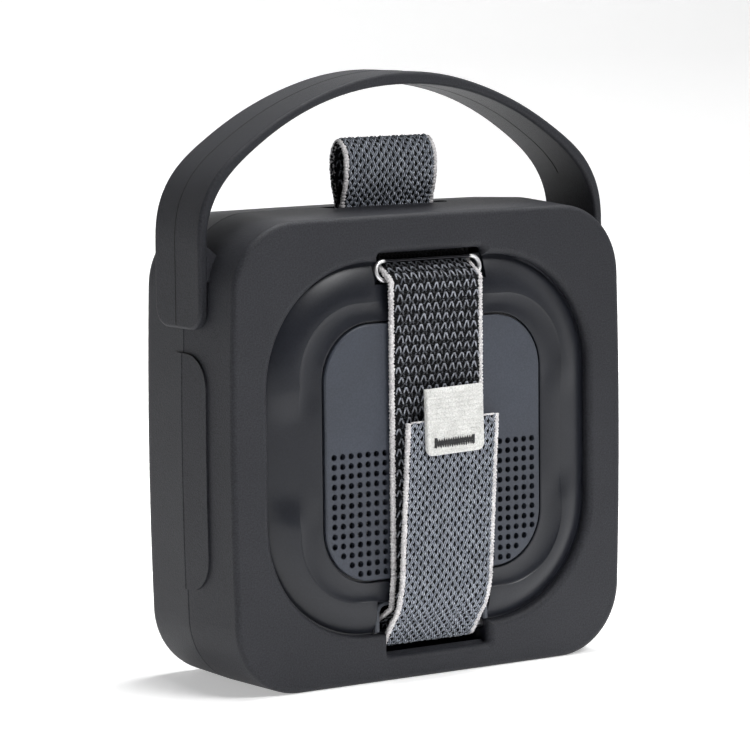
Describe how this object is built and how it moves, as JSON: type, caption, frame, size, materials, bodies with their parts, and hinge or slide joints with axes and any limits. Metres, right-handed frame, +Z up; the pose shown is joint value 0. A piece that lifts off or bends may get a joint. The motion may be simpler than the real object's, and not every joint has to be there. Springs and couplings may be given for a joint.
{
  "type": "shower speaker",
  "caption": "Splash-proof square speaker in a grained silicone sleeve with an arched carry handle and a woven hook-and-loop strap ending in a hanging loop.",
  "frame": {"origin": "middle of the sleeve's flat base, on the mould parting plane", "axes": "+Z up through the handle, +Y out of the grille, the strap side faces -Y, +X towards the charging opening"},
  "size_m": [0.115, 0.0461, 0.142],
  "materials": {
    "silicone": "matt, finely grained",
    "bumper": "soft-touch satin",
    "plate": "fine sparkle, satin",
    "grille": "powder coated",
    "housing": "moulded, matt",
    "seal": "matt",
    "magnet": "ground",
    "radiator": "dull",
    "cone": "matt",
    "coil": "enamelled wire",
    "board": "solder mask",
    "chip": "moulded",
    "cell": "shrink sleeve",
    "steel": "satin",
    "chrome": "polished",
    "trim": "matt slate grey",
    "button": "satin",
    "light": "frosted",
    "webbing": "black and pale grey weave with white edges",
    "hooks": "hook tape",
    "tab": "ribbed white webbing",
    "thread": "black zigzag stitching"
  },
  "bodies": {
    "speaker_in_sleeve": {"silicone_case": "silicone", "rear_bumper": "bumper", "rear_plate": "plate", "rear_housing": "housing", "front_housing": "housing", "housing_seal": "seal", "front_bumper": "bumper", "front_grille": "grille", "driver_frame": "housing", "driver_magnet": "magnet", "driver_spider": "cone", "driver_surround": "seal", "radiator_frame": "housing", "radiator_surround": "seal", "battery_cell": "cell", "main_board": "board", "processor_chip": "chip", "amplifier_chip": "chip", "radio_module": "chip", "port_board": "board", "charging_port": "steel", "housing_screws": "steel", "switch_board": "board", "tact_switches": "chip", "status_light": "light", "microphone": "chip", "strap_ring": "chrome", "lower_trim": "trim", "lower_bar": "steel", "anchor_pin": "steel", "strap_back_run": "webbing", "strap_tail": "webbing"},
    "cone_assembly": {"driver_cone": "cone", "dust_cap": "cone", "voice_coil": "coil"},
    "bass_radiator": {"radiator_weight": "radiator"},
    "power_button": {"power_button": "button"},
    "pairing_button": {"pairing_button": "button"},
    "play_button": {"play_button": "button"},
    "volume_down_button": {"volume_down_button": "button"},
    "volume_up_button": {"volume_up_button": "button"},
    "strap_front": {"strap_flap": "webbing", "hook_patch": "hooks", "pull_tab": "tab", "bartack": "thread"},
    "hang_loop": {"hang_loop": "webbing"}
  },
  "joints": [
    {"name": "cone_travel", "type": "slide", "parent": "speaker_in_sleeve", "child": "cone_assembly", "axis": [0, 1, 0], "range_m": [-0.0015, 0.0015], "stiffness_N_per_m": 1500},
    {"name": "radiator_travel", "type": "slide", "parent": "speaker_in_sleeve", "child": "bass_radiator", "axis": [0, 1, 0], "range_m": [-0.0015, 0.0015], "stiffness_N_per_m": 1500},
    {"name": "power_press", "type": "slide", "parent": "speaker_in_sleeve", "child": "power_button", "axis": [0, -1, 0], "range_m": [0, 0.0005], "stiffness_N_per_m": 1200, "springref_m": -0.0005},
    {"name": "pairing_press", "type": "slide", "parent": "speaker_in_sleeve", "child": "pairing_button", "axis": [0, -1, 0], "range_m": [0, 0.0005], "stiffness_N_per_m": 1200, "springref_m": -0.0005},
    {"name": "play_press", "type": "slide", "parent": "speaker_in_sleeve", "child": "play_button", "axis": [0, -1, 0], "range_m": [0, 0.0005], "stiffness_N_per_m": 1200, "springref_m": -0.0005},
    {"name": "volume_down_press", "type": "slide", "parent": "speaker_in_sleeve", "child": "volume_down_button", "axis": [0, -1, 0], "range_m": [0, 0.0005], "stiffness_N_per_m": 1200, "springref_m": -0.0005},
    {"name": "volume_up_press", "type": "slide", "parent": "speaker_in_sleeve", "child": "volume_up_button", "axis": [0, -1, 0], "range_m": [0, 0.0005], "stiffness_N_per_m": 1200, "springref_m": -0.0005},
    {"name": "strap_peel", "type": "hinge", "parent": "speaker_in_sleeve", "child": "strap_front", "pos_m": [0, -0.02062, 0.01404], "axis": [0.9987, 0, -0.0506], "range_deg": [0, 95]},
    {"name": "loop_fold", "type": "hinge", "parent": "speaker_in_sleeve", "child": "hang_loop", "pos_m": [0, 0, 0.1112], "axis": [1, 0, 0], "range_deg": [-45, 45]}
  ]
}
